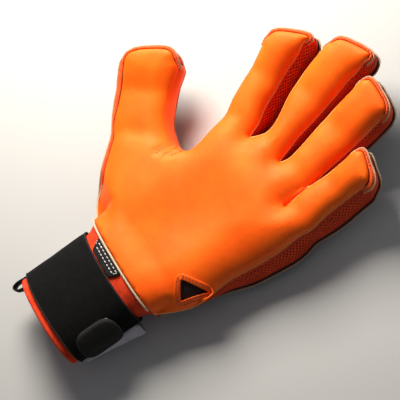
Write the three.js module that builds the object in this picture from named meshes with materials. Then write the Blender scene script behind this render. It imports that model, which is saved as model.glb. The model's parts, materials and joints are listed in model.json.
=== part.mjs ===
// A left-hand goalkeeper glove lying on its back, palm up. Millimetres, +Z up, fingers along +Y and thumb
// towards -X. The glove is a hollow of sewn panels: a foam latex palm, a backhand, mesh gussets between them, a
// cuff and an elastic wrist wrap with a peel-off closing tab. Each digit bends at its root and at its middle, so
// its panels are cut there, and a digit is a group on its root hinge that holds a second one on its middle hinge.
import * as THREE from "three";

// ---- Driving dimensions ----
const PANEL_GAP = 0.4; // clearance between neighbouring panels
const LATEX = 4.5; // foam latex panel with its backing
const BACK = 4.5; // backhand foam panel
const SIDE = 2.6; // mesh gusset with its seam allowance
const LINING = 0.9; // inner lining
const EDGE_ROUND = 1.2; // rounding of a foam panel's edge

const PALM_TOP = 41; // height of the palm's outer face; the backhand's outer face rests at z = 0
const LOWER_DEPTH = 32; // a digit's thickness below its middle hinge
const UPPER_DEPTH = 27; // and above it
const ROOT_CURL = 6; // degrees that a relaxed digit rises at its root hinge
const MIDDLE_CURL = 12; // and again at its middle hinge
const TIP_CORNER = 6.5; // corner radius of the squarish fingertips

// Each digit starts at `base`, level with the higher of its two crotches, and leans clockwise from +Y by
// `lean` degrees. `root` is how far above the base the root hinge is; `lower` and `upper` are the lengths of
// the two segments; `half` is the half width at the base, the root hinge, the middle hinge and the tip.
// `rolled` is the side, -1 for the thumb's side and 1 for the other, where the latex wraps round instead of
// meeting a gusset.
const DIGITS = {
  thumb: {
    base: [-57.5, 71.5], lean: -37, root: 10, lower: 26, upper: 30, half: [24, 23.6, 23.2, 21.5],
    corner: 14, rolled: 1,
  },
  index: {
    base: [-14.6, 125.5], lean: -11.3, root: 12, lower: 30, upper: 40, half: [12, 12.4, 13.2, 12.6],
    rolled: -1,
  },
  middle: { base: [11.4, 129], lean: 0, root: 12, lower: 38, upper: 50, half: [13.6, 14, 15.2, 14.4] },
  ring: { base: [40.6, 129], lean: 5.9, root: 12, lower: 34, upper: 45, half: [14.2, 14.4, 15.2, 14.4] },
  little: { base: [64.2, 109], lean: 12.3, root: 12, lower: 26, upper: 33, half: [12.4, 12.5, 12.4, 11.9] },
};

// The palm's plan, away from the digits.
const WRIST_THUMB_CORNER = [-43, 9];
const WRIST_OUTER_CORNER = [38, -6];
const HEEL = [[52, 5], [60, 22], [64, 48], [70, 74], [76, 94]]; // little-finger side, from the wrist up
const THENAR = [[-48, 17], [-60, 34]]; // thumb side, from the wrist up
const WEB = [[-33.5, 85.5], [-28.5, 88.5], [-25.5, 97], [-26, 110]]; // from the thumb's root to the index's
const CROTCHES = { index_middle: [-2.5, 124.9], middle_ring: [25.6, 128.4], ring_little: [51, 108.6] };
const VENT = [[37, 23], [47.5, 12.5], [53.5, 28.5]]; // corners of the window in the palm's heel
const VENT_FRAME = 3.2; // width of the stitched frame round it

// The cuff is an elliptical tube square to the palm's wrist edge, and centred on it.
const CUFF_HALF_WIDTH = 35.6;
const CUFF_HALF_HEIGHT = 20;
const CUFF_WALL = 2.5;
const CUFF_START = 3.4; // distance from the palm's wrist edge to the cuff's own edge
const CUFF_LENGTH = 66;
const WRAP_WALL = 2.4;
const WRAP_START = 11;
const WRAP_LENGTH = 53;
const STRAP_WALL = 1.9;
const STRAP_LENGTH = 47; // along the forearm
const TAB_LENGTH = 33; // along the forearm
const TAB_START = 24;
const PATCH = 0.8; // thickness of the hook and loop patches
// Arcs are in degrees round the cuff: 0 on the little-finger side and 90 on the palm side.
const TAB_ARC = [0.5, 50];
const STRAP_ARC = [-168, -1.5];
const INSERT_ARC = [78, 121];
const INSERT_LENGTH = 6.6;
const INSERT_WALL = 1.6;
const LAYER_GAP = 0.35; // clearance between the cuff's layers
const CUFF_AXIS_HEIGHT = CUFF_HALF_HEIGHT + WRAP_WALL + STRAP_WALL + 2 * LAYER_GAP + 0.3;
const PIPING_RADIUS = 1.1;
const WEBBING = 1.1; // thickness of the pull loop's webbing
const WEBBING_WIDTH = 7;

const rad = THREE.MathUtils.degToRad;

// ---- Materials ----
const material = (color, roughness) => new THREE.MeshStandardMaterial({ color, roughness, metalness: 0 });
const orangeLatex = material(0xff7a1c, 0.75);
const redMesh = material(0xc81e0a, 0.85);
const blackFoam = material(0x16161a, 0.6);
const blackElastic = material(0x1b1b1e, 0.8);
const greyLoop = material(0x8d8790, 0.95);
const redCuff = material(0xe23a12, 0.8);
const creamEdge = material(0xf2ead8, 0.7);
const lining = material(0xb9b2a8, 0.95);

// ---- Small tools ----
const glove = new THREE.Group();

function part(parent, name, geometry, finish) {
  const mesh = new THREE.Mesh(geometry, finish);
  mesh.name = name;
  parent.add(mesh);
  return mesh;
}

const toPoints = (list) => list.map(([x, y]) => new THREE.Vector2(x, y));

// A panel of even thickness whose outer face is at `top`, from its plan outline.
function panel(outline, thickness, top, holes = [], round = EDGE_ROUND) {
  const shape = new THREE.Shape(outline);
  shape.holes = holes.map((hole) => new THREE.Path(hole));
  const bevel = round > 0;
  const geometry = new THREE.ExtrudeGeometry(shape, {
    depth: thickness - 2 * round,
    steps: 1,
    bevelEnabled: bevel,
    bevelThickness: round,
    bevelSize: round,
    bevelOffset: -round,
    bevelSegments: 1,
  });
  return geometry.translate(0, 0, top - thickness + round);
}

// The same line moved sideways, to its left as it runs.
function offsetLine(line, distance) {
  return line.map((p, i) => {
    const before = line[Math.max(i - 1, 0)];
    const after = line[Math.min(i + 1, line.length - 1)];
    const inward = p.clone().sub(before).normalize();
    const outward = after.clone().sub(p).normalize();
    const along = inward.clone().add(outward).normalize();
    const one = inward.lengthSq() > 0 ? inward : outward;
    const stretch = 1 / Math.max(0.5, Math.abs(along.dot(one)));
    return new THREE.Vector2(p.x - along.y * distance * stretch, p.y + along.x * distance * stretch);
  });
}

// A wall that stands on a plan line, between two heights. It grows to the left of the line as it runs.
function wall(line, bottom, top, thickness = SIDE) {
  const inner = offsetLine(line, thickness);
  return panel([...line, ...inner.reverse()], top - bottom, top, [], 0);
}

// ---- Digits ----
const uAxis = (lean) => new THREE.Vector2(Math.cos(rad(lean)), -Math.sin(rad(lean)));
const vAxis = (lean) => new THREE.Vector2(Math.sin(rad(lean)), Math.cos(rad(lean)));

// A point of the palm's plane given across and along a digit.
function onDigit({ base, lean }, u, v) {
  return new THREE.Vector2(...base).addScaledVector(uAxis(lean), u).addScaledVector(vAxis(lean), v);
}

// A straight tapering piece of a digit, from v0 to v1.
function segmentOutline(half0, half1, v0, v1) {
  return toPoints([[-half0, v0], [half0, v0], [half1, v1], [-half1, v1]]);
}

// The open line round a fingertip, from its right side at v0 over the tip to its left side.
function tipLine(half0, half1, v0, v1, corner) {
  const line = [new THREE.Vector2(half0, v0)];
  const steps = 5;
  for (const side of [1, -1]) {
    const centre = new THREE.Vector2(side * (half1 - corner), v1 - corner);
    for (let i = 0; i <= steps; i++) {
      const turn = (side > 0 ? i : steps - i) / steps;
      const angle = (side > 0 ? turn : 2 - turn) * (Math.PI / 2);
      line.push(centre.clone().add(new THREE.Vector2(Math.cos(angle), Math.sin(angle)).multiplyScalar(corner)));
    }
  }
  line.push(new THREE.Vector2(-half0, v0));
  return line;
}

// The back of a segment starts behind its hinge, because the relaxed digit has turned away from it there.
const backStart = (depth, curl) => PANEL_GAP - depth * Math.tan(rad(curl));

function lowerSegment(name, digit, group) {
  const [, half0, half1] = digit.half;
  const end = digit.lower - PANEL_GAP;
  const outline = segmentOutline(half0, half1, PANEL_GAP, end);
  const backOutline = segmentOutline(half0, half1, backStart(LOWER_DEPTH, ROOT_CURL), end);
  const wallTop = -LATEX - PANEL_GAP;
  const wallBottom = BACK + PANEL_GAP - LOWER_DEPTH;
  part(group, `${name}_lower_latex`, panel(outline, LATEX, 0), orangeLatex);
  part(group, `${name}_lower_back`, panel(backOutline, BACK, BACK - LOWER_DEPTH), blackFoam);
  const side = (sign, line) => {
    const isRoll = digit.rolled === sign;
    const kind = isRoll ? "roll" : `gusset_${sign < 0 ? "inner" : "outer"}`;
    part(group, `${name}_lower_${kind}`, wall(line, wallBottom, wallTop), isRoll ? orangeLatex : redMesh);
  };
  side(-1, [outline[3], outline[0]]);
  side(1, [outline[1], outline[2]]);
}

function upperSegment(name, digit, group) {
  const [, , half0, half1] = digit.half;
  const corner = digit.corner ?? TIP_CORNER;
  const around = (start) => tipLine(half0, half1, start, digit.upper, corner);
  const wallTop = -LATEX - PANEL_GAP;
  const wallBottom = BACK + PANEL_GAP - UPPER_DEPTH;
  const backOutline = around(backStart(UPPER_DEPTH, MIDDLE_CURL));
  part(group, `${name}_upper_latex`, panel(around(PANEL_GAP), LATEX, 0), orangeLatex);
  part(group, `${name}_upper_back`, panel(backOutline, BACK, BACK - UPPER_DEPTH), blackFoam);
  part(group, `${name}_upper_gusset`, wall(around(PANEL_GAP), wallBottom, wallTop), redMesh);
}

for (const [name, digit] of Object.entries(DIGITS)) {
  const root = new THREE.Group();
  root.name = `${name}_root_hinge`;
  const at = onDigit(digit, 0, digit.root);
  root.position.set(at.x, at.y, PALM_TOP);
  root.rotation.set(rad(ROOT_CURL), 0, -rad(digit.lean), "ZXY");
  glove.add(root);
  lowerSegment(name, digit, root);
  const middle = new THREE.Group();
  middle.name = `${name}_middle_hinge`;
  middle.position.y = digit.lower;
  middle.rotation.x = rad(MIDDLE_CURL);
  root.add(middle);
  upperSegment(name, digit, middle);
}

// ---- Palm ----
const { thumb, index, middle, ring, little } = DIGITS;
const stubEnd = (digit) => digit.root - PANEL_GAP;
const side = (digit, sign, v) => onDigit(digit, sign * (v > 0 ? digit.half[1] : digit.half[0]), v);
const leftOf = (digit) => [side(digit, -1, 0), side(digit, -1, stubEnd(digit))];
const rightOf = (digit) => [side(digit, 1, stubEnd(digit)), side(digit, 1, 0)];
const smooth = (line, count) => new THREE.SplineCurve(line).getPoints(count);
const crotch = (name) => new THREE.Vector2(...CROTCHES[name]);

// The plan's edges, all running clockwise seen from the palm side: up the thumb side, over the fingers and
// down the little-finger side.
const thenarEdge = smooth([...toPoints([WRIST_THUMB_CORNER, ...THENAR]), ...leftOf(thumb)], 10);
const webEdge = [...rightOf(thumb), ...smooth([...toPoints(WEB), leftOf(index)[0]], 8), leftOf(index)[1]];
const indexMiddleEdge = [...rightOf(index), crotch("index_middle"), ...leftOf(middle)];
const middleRingEdge = [...rightOf(middle), crotch("middle_ring"), ...leftOf(ring)];
const ringLittleEdge = [...rightOf(ring), crotch("ring_little"), ...leftOf(little)];
const heelPoints = toPoints([...HEEL.toReversed(), WRIST_OUTER_CORNER]);
const heelEdge = smooth([...rightOf(little), ...heelPoints], 16);

const palmOutline = [
  ...thenarEdge, ...webEdge, ...indexMiddleEdge, ...middleRingEdge, ...ringLittleEdge, ...heelEdge,
].reverse();

const ventCorners = toPoints(VENT);
const ventCentre = ventCorners.reduce((sum, p) => sum.add(p), new THREE.Vector2()).divideScalar(3);
const ventAt = (grow) => ventCorners.map((p) => {
  const arm = p.clone().sub(ventCentre);
  return ventCentre.clone().addScaledVector(arm, 1 + grow / arm.length());
});

part(glove, "palm_latex", panel(palmOutline, LATEX, PALM_TOP, [ventAt(0)]), orangeLatex);
part(glove, "palm_backhand", panel(palmOutline, BACK, BACK), blackFoam);

const wallBottom = BACK + PANEL_GAP;
const wallTop = PALM_TOP - LATEX - PANEL_GAP;
function palmWall(name, line, finish) {
  part(glove, name, wall(line.toReversed(), wallBottom, wallTop), finish);
}
palmWall("thumb_edge_wall", thenarEdge, redMesh);
palmWall("thumb_web_roll", webEdge, orangeLatex);
palmWall("crotch_gusset_index_middle", indexMiddleEdge, redMesh);
palmWall("crotch_gusset_middle_ring", middleRingEdge, redMesh);
palmWall("crotch_gusset_ring_little", ringLittleEdge, redMesh);
palmWall("heel_gusset", heelEdge, redMesh);

// The lining lies inside the walls, from just inside the wrist edge to short of the fingers.
const liningOutline = toPoints([
  [-37, 12], [34, -1], [48, 10], [56, 28], [60, 52], [66, 78], [60, 98], [42, 104], [18, 116],
  [-10, 114], [-20, 96], [-30, 78], [-48, 62], [-62, 50], [-52, 34],
]);
part(glove, "palm_lining", panel(liningOutline, LINING, wallTop, [], 0), lining);
part(glove, "back_lining", panel(liningOutline, LINING, wallBottom + LINING, [], 0), lining);

// The window in the heel: dark mesh set into the latex, and a stitched frame on top of it.
const frameOutline = ventAt(VENT_FRAME * 1.6); // further at its corners than at its sides
part(glove, "vent_mesh", panel(ventAt(-0.9), 2.2, PALM_TOP - 1.6, [], 0), blackElastic);
part(glove, "vent_frame", panel(frameOutline, 0.9, PALM_TOP + 0.9 + 0.3, [ventAt(0.4)], 0), redCuff);

// ---- Cuff, wrist wrap and closure ----
const wristThumb = new THREE.Vector2(...WRIST_THUMB_CORNER);
const wristOuter = new THREE.Vector2(...WRIST_OUTER_CORNER);
const wristMiddle = wristThumb.clone().lerp(wristOuter, 0.5);
const cuff = new THREE.Group();
cuff.name = "cuff_frame";
cuff.position.set(wristMiddle.x, wristMiddle.y, CUFF_AXIS_HEIGHT);
cuff.rotation.z = wristOuter.clone().sub(wristThumb).angle();
glove.add(cuff);

const onCuff = (angle, grow) => new THREE.Vector2(
  (CUFF_HALF_WIDTH + grow) * Math.cos(rad(angle)),
  (CUFF_HALF_HEIGHT + grow) * Math.sin(rad(angle)),
);

// A band round the cuff's ellipse: `out` is its inner face's distance from the cuff's outer face. It runs
// from `start` towards the forearm for `length`.
function band(out, thickness, [from, to], start, length, segments = 14) {
  const angles = Array.from({ length: segments + 1 }, (_, i) => from + ((to - from) * i) / segments);
  const arc = (grow) => angles.map((angle) => onCuff(angle, grow));
  const section = new THREE.Shape([...arc(out + thickness), ...arc(out).reverse()]);
  const geometry = new THREE.ExtrudeGeometry(section, { depth: length, bevelEnabled: false });
  return geometry.rotateX(Math.PI / 2).translate(0, -start, 0);
}

const PALM_SIDE = [0.8, 179.2];
const BACK_SIDE = [180.8, 359.2];
const overCuff = LAYER_GAP;
const overWrap = WRAP_WALL + 2 * LAYER_GAP;
part(cuff, "cuff_front", band(-CUFF_WALL, CUFF_WALL, PALM_SIDE, CUFF_START, CUFF_LENGTH), redCuff);
part(cuff, "cuff_back", band(-CUFF_WALL, CUFF_WALL, BACK_SIDE, CUFF_START, CUFF_LENGTH), redCuff);
const insert = band(overCuff, INSERT_WALL, INSERT_ARC, CUFF_START + 0.4, INSERT_LENGTH, 6);
part(cuff, "elastic_insert", insert, blackElastic);
part(cuff, "wrist_wrap_front", band(overCuff, WRAP_WALL, PALM_SIDE, WRAP_START, WRAP_LENGTH), blackElastic);
part(cuff, "wrist_wrap_back", band(overCuff, WRAP_WALL, BACK_SIDE, WRAP_START, WRAP_LENGTH), blackElastic);

// The strap comes round the back of the wrap and ends in the tab, which hooks on to a loop patch on the
// palm's side.
const patchArc = [TAB_ARC[0] + 9, TAB_ARC[1] - 5];
const strapStart = WRAP_START + (WRAP_LENGTH - STRAP_LENGTH) / 2;
part(cuff, "closure_strap", band(overWrap, STRAP_WALL, STRAP_ARC, strapStart, STRAP_LENGTH), greyLoop);
part(cuff, "loop_patch", band(overWrap, PATCH, patchArc, TAB_START + 3, TAB_LENGTH - 6, 6), greyLoop);
const tab = new THREE.Group();
tab.name = "tab_hinge";
const overPatches = overWrap + 2 * (PATCH + LAYER_GAP);
const tabRoot = onCuff(TAB_ARC[0], overPatches);
tab.position.set(tabRoot.x, 0, tabRoot.y);
cuff.add(tab);
const onTab = (geometry) => geometry.translate(-tabRoot.x, 0, -tabRoot.y);
part(tab, "hook_patch",
  onTab(band(overPatches - PATCH - LAYER_GAP, PATCH, patchArc, TAB_START + 4, TAB_LENGTH - 8, 6)), greyLoop);
const tabBand = band(overPatches, STRAP_WALL, TAB_ARC, TAB_START, TAB_LENGTH, 8);
part(tab, "closure_tab", onTab(tabBand), blackElastic);

// The pull loop is webbing folded over the forearm edge on the thumb side, with a leg sewn to each face.
const cuffEnd = -(CUFF_START + CUFF_LENGTH);
const legIn = -(CUFF_HALF_WIDTH - CUFF_WALL - WEBBING / 2 - 1.2);
const legOut = -(CUFF_HALF_WIDTH + WEBBING / 2 + LAYER_GAP);
const loopMiddle = (legIn + legOut) / 2;
const loopPoints = [
  [legIn, 6], [legIn, 1], [legIn + 0.3, -3], [loopMiddle + 2.2, -8], [loopMiddle, -9.4],
  [loopMiddle - 2.2, -8], [legOut - 0.3, -3], [legOut, 0.6], [legOut, 3],
].map(([x, y]) => new THREE.Vector3(x, cuffEnd + y, 0));
const loopLine = new THREE.CatmullRomCurve3(loopPoints).getPoints(28).map((p) => new THREE.Vector2(p.x, p.y));
const loopSide = (sign) => offsetLine(loopLine, (sign * WEBBING) / 2);
const loopOutline = [...loopSide(-1), ...loopSide(1).reverse()];
part(cuff, "pull_loop", panel(loopOutline, WEBBING_WIDTH, WEBBING_WIDTH / 2, [], 0), blackElastic);

// Cream piping binds the latex's edge: down the thumb side of the heel and along the wrist, outside the walls.
const wristEdge = [0, 0.3, 0.65, 1].map((t) => wristThumb.clone().lerp(wristOuter, t));
const boundEdge = [...thenarEdge.slice(1, 12).reverse(), ...wristEdge];
const pipingLine = offsetLine(boundEdge, -(PIPING_RADIUS + 0.5)).map((p) => new THREE.Vector3(p.x, p.y, 0));
const pipingCircle = new THREE.EllipseCurve(0, 0, PIPING_RADIUS, PIPING_RADIUS);
const piping = new THREE.ExtrudeGeometry(new THREE.Shape(pipingCircle.getPoints(8).slice(0, 8)), {
  steps: 44,
  bevelEnabled: false,
  extrudePath: new THREE.CatmullRomCurve3(pipingLine, false, "centripetal"),
});
part(glove, "wrist_piping", piping.translate(0, 0, PALM_TOP - LATEX / 2), creamEdge);

// The glove rests on its backhand, with its bounding box's bottom centre at the origin.
glove.updateMatrixWorld(true);
const box = new THREE.Box3().setFromObject(glove, true);
glove.position.set(-(box.min.x + box.max.x) / 2, -(box.min.y + box.max.y) / 2, -box.min.z);

export default glove;
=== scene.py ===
import json
import math
import bpy
import numpy as np
from mathutils import Matrix, Vector
from mathutils.geometry import delaunay_2d_cdt


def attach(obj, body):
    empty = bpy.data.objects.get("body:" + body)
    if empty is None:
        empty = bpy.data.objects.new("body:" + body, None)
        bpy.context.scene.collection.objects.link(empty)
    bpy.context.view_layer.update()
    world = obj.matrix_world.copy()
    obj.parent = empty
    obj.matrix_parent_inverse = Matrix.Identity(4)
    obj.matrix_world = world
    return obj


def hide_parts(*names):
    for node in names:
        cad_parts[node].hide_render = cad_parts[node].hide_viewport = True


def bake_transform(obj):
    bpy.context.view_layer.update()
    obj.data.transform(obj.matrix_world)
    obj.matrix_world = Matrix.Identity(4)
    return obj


# A left goalkeeper glove, palm up. Everything is worked out in millimetres in the plan of the palm, and
# turned into metres in the row frame when a mesh is made.
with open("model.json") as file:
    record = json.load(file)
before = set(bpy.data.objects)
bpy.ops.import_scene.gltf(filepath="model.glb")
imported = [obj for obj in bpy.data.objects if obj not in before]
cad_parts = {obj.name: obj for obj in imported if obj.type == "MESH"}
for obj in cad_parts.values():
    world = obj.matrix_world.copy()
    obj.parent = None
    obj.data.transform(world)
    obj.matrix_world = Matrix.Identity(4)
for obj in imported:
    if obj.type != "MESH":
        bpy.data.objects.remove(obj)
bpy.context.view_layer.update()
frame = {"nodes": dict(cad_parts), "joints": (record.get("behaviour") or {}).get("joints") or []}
joints = {j["name"]: j for j in frame["joints"]}

# ---- Dimensions, mm ----
PALM_TOP = 41.0
PALM_DEPTH = 41.0
LOWER_DEPTH = 32.0
UPPER_DEPTH = 27.0
ROOT_CURL = math.radians(6)
MIDDLE_CURL = math.radians(12)
EDGE_STEP = 1.6  # spacing of points along a seam
PITCH = 2.6  # spacing of points on the open palm

WRIST_THUMB = np.array([-43.0, 9.0])
WRIST_OUTER = np.array([38.0, -6.0])
THENAR = [(-53, 18), (-62.5, 34)]
WEB = [(-37.5, 84.5), (-28.5, 88.5), (-25.5, 97), (-26, 110)]
HEEL = [(76, 94), (70.5, 74), (62.5, 49), (55.5, 23), (47, 6)]
CROTCHES = {"middle": (-3, 126.5), "ring": (25.8, 130), "little": (51.4, 110.5)}
WEB_SEAMS = [np.array(line) for line in (
    [(-41.5, 72.5), (-40.5, 86)],
    [(-37, 75), (-35.5, 88)],
    [(-33, 79), (-30.8, 88.5)],
)]
VENT = np.array([(37.6, 26), (46.8, 13.4), (56, 33.4)])

CUFF_HALF_WIDTH = 35.6
CUFF_HALF_HEIGHT = 20.0
CUFF_HEIGHT = 25.3  # of the cuff's axis
CUFF_END = 69.4
WRIST_HALF_WIDTH = 41.3
WRIST_HALF_HEIGHT = 21.6
WRIST_POWER = 2.75  # of the superellipse that the wrist's section follows
WRAP = (11.3, 64.0)
STRAP = (14.0, 61.0)
TAB = (24.0, 57.0)
INSERT = (80, 119, 2.3, 10.9)  # degrees round the cuff, then mm along it


# ---- Small numeric tools ----
def ramp(a, b, x):
    t = np.clip((x - a) / (b - a), 0, 1)
    return t * t * (3 - 2 * t)


def soft_plus(x, k=4.0):
    return k * np.logaddexp(0, x / k)


def unit(v):
    return v / np.maximum(np.linalg.norm(v, axis=-1, keepdims=True), 1e-12)


def resample(line, step, labels=None):
    line = np.asarray(line, float)
    s = np.r_[0, np.cumsum(np.linalg.norm(np.diff(line, axis=0), axis=1))]
    t = np.linspace(0, s[-1], max(2, int(round(s[-1] / step))) + 1)
    out = np.stack([np.interp(t, s, line[:, k]) for k in range(line.shape[1])], 1)
    if labels is None:
        return out
    return out, np.asarray(labels)[np.clip(np.searchsorted(s, t), 0, len(line) - 1)]


def relax(line, rounds, closed=False):
    line = line.copy()
    for _ in range(rounds):
        if closed:
            line = line / 2 + (np.roll(line, 1, 0) + np.roll(line, -1, 0)) / 4
        else:
            line[1:-1] = line[1:-1] / 2 + (line[:-2] + line[2:]) / 4
    return line


def spline(points, step=2.0):
    p = np.asarray(points, float)
    p = np.vstack([2 * p[0] - p[1], p, 2 * p[-1] - p[-2]])
    out = []
    for a, b, c, d in zip(p[:-3], p[1:-2], p[2:-1], p[3:]):
        for t in np.linspace(0, 1, max(2, int(np.linalg.norm(c - b) / step)), endpoint=False):
            square = (2 * a - 5 * b + 4 * c - d) * t**2
            cube = (3 * b - a - 3 * c + d) * t**3
            out.append(0.5 * (2 * b + (c - a) * t + square + cube))
    return np.array(out + [p[-2]])


def distance(points, line, closed=False):
    ends = np.roll(line, -1, 0) if closed else line[1:]
    starts = line if closed else line[:-1]
    d = ends - starts
    out = np.empty(len(points))
    for i in range(0, len(points), 2000):
        rel = points[i:i + 2000, None] - starts[None]
        t = np.clip((rel * d).sum(2) / np.maximum((d * d).sum(1), 1e-9), 0, 1)
        out[i:i + 2000] = np.sqrt(((rel - t[..., None] * d) ** 2).sum(2).min(1))
    return out


def inside(points, polygon):
    x, y = points[:, :1], points[:, 1:]
    x0, y0 = polygon[:, 0], polygon[:, 1]
    x1, y1 = np.roll(x0, -1), np.roll(y0, -1)
    crosses = (y0 > y) != (y1 > y)
    with np.errstate(divide="ignore", invalid="ignore"):
        left = x < (x1 - x0) * (y - y0) / (y1 - y0) + x0
    return (crosses & left).sum(1) % 2 == 1


def normals_2d(line):
    """The outward normals of a line that runs clockwise round the glove."""
    t = unit(np.gradient(line, axis=0))
    return np.stack([-t[:, 1], t[:, 0]], 1)


def value_noise(p, scale, seed=0):
    """Smooth noise between -1 and 1 at points of two or three dimensions."""
    q = np.asarray(p, float) / scale
    cell = np.floor(q).astype(int)
    f = q - cell
    f = f * f * (3 - 2 * f)
    total = 0
    dims = q.shape[1]
    for corner in range(2**dims):
        offset = np.array([(corner >> k) & 1 for k in range(dims)])
        c = cell + offset
        h = seed * 374761393
        for k, prime in zip(range(dims), (668265263, 2147483647 // 3, 1274126177)):
            h = h + c[:, k] * prime
        h = (h ^ (h >> 13)) * 1274126177
        value = ((h ^ (h >> 16)) & 65535) / 32767.5 - 1
        total = total + value * np.prod(np.where(offset, f, 1 - f), 1)
    return total


# ---- The plan ----
class Digit:
    """A finger or the thumb in the plan. u goes across it, away from the thumb's side, and v from its root.

    Pairs are for the two sides, and triples for the two sides and the tip. half is the half width at v = 0,
    the root bend, the middle bend and the tip. inset and cut say how far the latex stops short of the
    outline. waist narrows the sides and flare widens them towards the tip. drop and spread are the height
    and the width of the latex's rounded edge.
    """

    def __init__(self, name, base, lean, root, lower, upper, half, dome=8.5, skew=0.0, grow=(1.2, 0.8),
                 inset=(0, 3), drop=(6.5, 8.5, 3.6), spread=(11, 13, 9), waist=0.0, cut=0.0, flare=(0, 0)):
        self.name, self.root, self.half, self.waist = name, root, half, waist
        self.base = np.array(base, float)
        lean = math.radians(lean)
        self.u = np.array([math.cos(lean), -math.sin(lean)])
        self.v = np.array([math.sin(lean), math.cos(lean)])
        self.middle = root + lower * math.cos(ROOT_CURL)
        self.tip = self.middle + upper * math.cos(ROOT_CURL + MIDDLE_CURL)
        self.split = root + lower * math.cos(ROOT_CURL) / 2
        self.dome, self.skew, self.grow, self.inset = dome, skew, grow, inset
        self.drop, self.spread, self.cut, self.flare = drop, spread, cut, flare

    def local(self, p):
        return (p - self.base) @ self.u, (p - self.base) @ self.v

    def at(self, u, v):
        return self.base + np.multiply.outer(u, self.u) + np.multiply.outer(v, self.v)

    def width(self, v):
        narrow = 0.9 * (1 - ramp(0, 24, v)) + 0.5 * np.exp(-(((v - self.middle) / 7) ** 2))
        return np.interp(v, [0, self.root, self.middle, self.tip], self.half) - narrow

    def rise(self, v):
        fold = math.tan(ROOT_CURL + MIDDLE_CURL) - math.tan(ROOT_CURL)
        return math.tan(ROOT_CURL) * soft_plus(v - self.root) + fold * soft_plus(v - self.middle)

    def depth(self, v):
        lower = PALM_DEPTH + (LOWER_DEPTH - PALM_DEPTH) * ramp(-14, self.root + 6, v)
        return lower + (UPPER_DEPTH - LOWER_DEPTH) * ramp(self.middle - 10, self.middle + 12, v)

    def shaped(self, u, v, values):
        """A value given for the thumb's side, the other side and the tip, blended between them."""
        across = ramp(-0.7, 0.7, u / self.width(v))
        side = values[0] + (values[1] - values[0]) * across
        return side + (values[2] - side) * ramp(self.tip - 17, self.tip - 5, v)

    def reach(self, sign):
        """Half width at each v on one side, and where the tip's rounding starts on that side."""
        grow = self.grow[0 if sign < 0 else 1]
        waist = self.waist if sign > 0 else 0.0
        flare = self.flare[0 if sign < 0 else 1]

        def width(v):
            narrow = waist * np.exp(-(((v - self.root - 14) / 24) ** 2))
            wide = flare * ramp(self.tip - 26, self.tip - 6, v)
            return self.width(v) + grow * ramp(0, 16, v) - narrow + wide
        return width, self.tip - self.dome + sign * self.skew

    def side(self, sign, v0, v1):
        """Points up one side of the digit, with how far the latex stops short of them."""
        width, _ = self.reach(sign)
        v = np.linspace(v0, v1, 24)
        inset = self.inset[0 if sign < 0 else 1] * ramp(2, 26, v)
        if sign < 0:
            inset = inset + self.cut * ramp(0, 9, v) * np.exp(-(((v - 15) / 22) ** 2))
        return np.c_[self.at(sign * width(v), v), inset]

    def tip_arc(self):
        angle = np.linspace(math.pi, 0, 44)[1:-1]
        sign = np.sign(np.cos(angle))
        foot = self.tip - self.dome
        h = np.where(sign < 0, self.reach(-1)[0](foot), self.reach(1)[0](foot))
        u = h * sign * np.abs(np.cos(angle)) ** (2 / TIP_POWER)
        v = foot + self.skew * np.clip(u / h.mean(), -1, 1)
        v = v + self.dome * np.abs(np.sin(angle)) ** (2 / TIP_POWER)
        return np.c_[self.at(u, v), np.full(len(u), STRIP)]


STRIP = 3.0  # width of the fabric strip that binds the tips and the thumb's outer edge
TIP_POWER = 3.3  # of the superellipse that a tip follows
DIGITS = [
    Digit("thumb", (-57.5, 71.5), -37, 10, 26, 33, (24, 23.6, 23.2, 21.8), dome=15, skew=2.5,
          grow=(1.5, -2.2),
          inset=(STRIP, 0), drop=(4, 7.5, 3.4), spread=(13, 17, 13), waist=8.0, flare=(0, 2.0)),
    Digit("index", (-14.6, 125.5), -11.3, 12, 30, 39, (12, 12.4, 13.2, 12.9), skew=6.6,
          grow=(1.6, 2.0), inset=(0, 6), flare=(1.4, 3.2)),
    Digit("middle", (11.4, 129), 0, 12, 38, 51, (13.6, 14, 15.2, 14.8), skew=5.2, inset=(0, 4), cut=8.5,
          flare=(-1.2, 3.0)),
    Digit("ring", (40.6, 129), 5.9, 12, 34, 44, (14.2, 14.4, 15.2, 14.8), skew=-2.2,
          inset=(0, 3.5), cut=3.5),
    Digit("little", (64.2, 109), 12.3, 12, 26, 32.5, (12.4, 12.5, 12.4, 12.2), skew=-4.2, inset=(0, 4.5)),
]
thumb, index = DIGITS[:2]
SHIFT = np.array(joints["index_root_bend"]["pos_m"][:2]) * 1000 - index.at(0, index.root)


def inset_run(points, at):
    """A spline with how far the latex stops short of it, worked out from each point's distance along +Y."""
    line = spline(points)
    return np.c_[line, at(line[:, 1])]


# The edge of the plan, clockwise from the wrist's thumb corner to its outer corner. Each point has the
# distance that the palm's latex stops short of it and a label for what lies there.
GUSSET, TIP, ROLL = 0, 1, 2


def strip_inset(y):
    return STRIP * 0.7 * ramp(14, 30, y)


def heel_inset(y):
    return 4.0 * ramp(16, 52, y) * (1 - ramp(96, 116, y))


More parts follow.
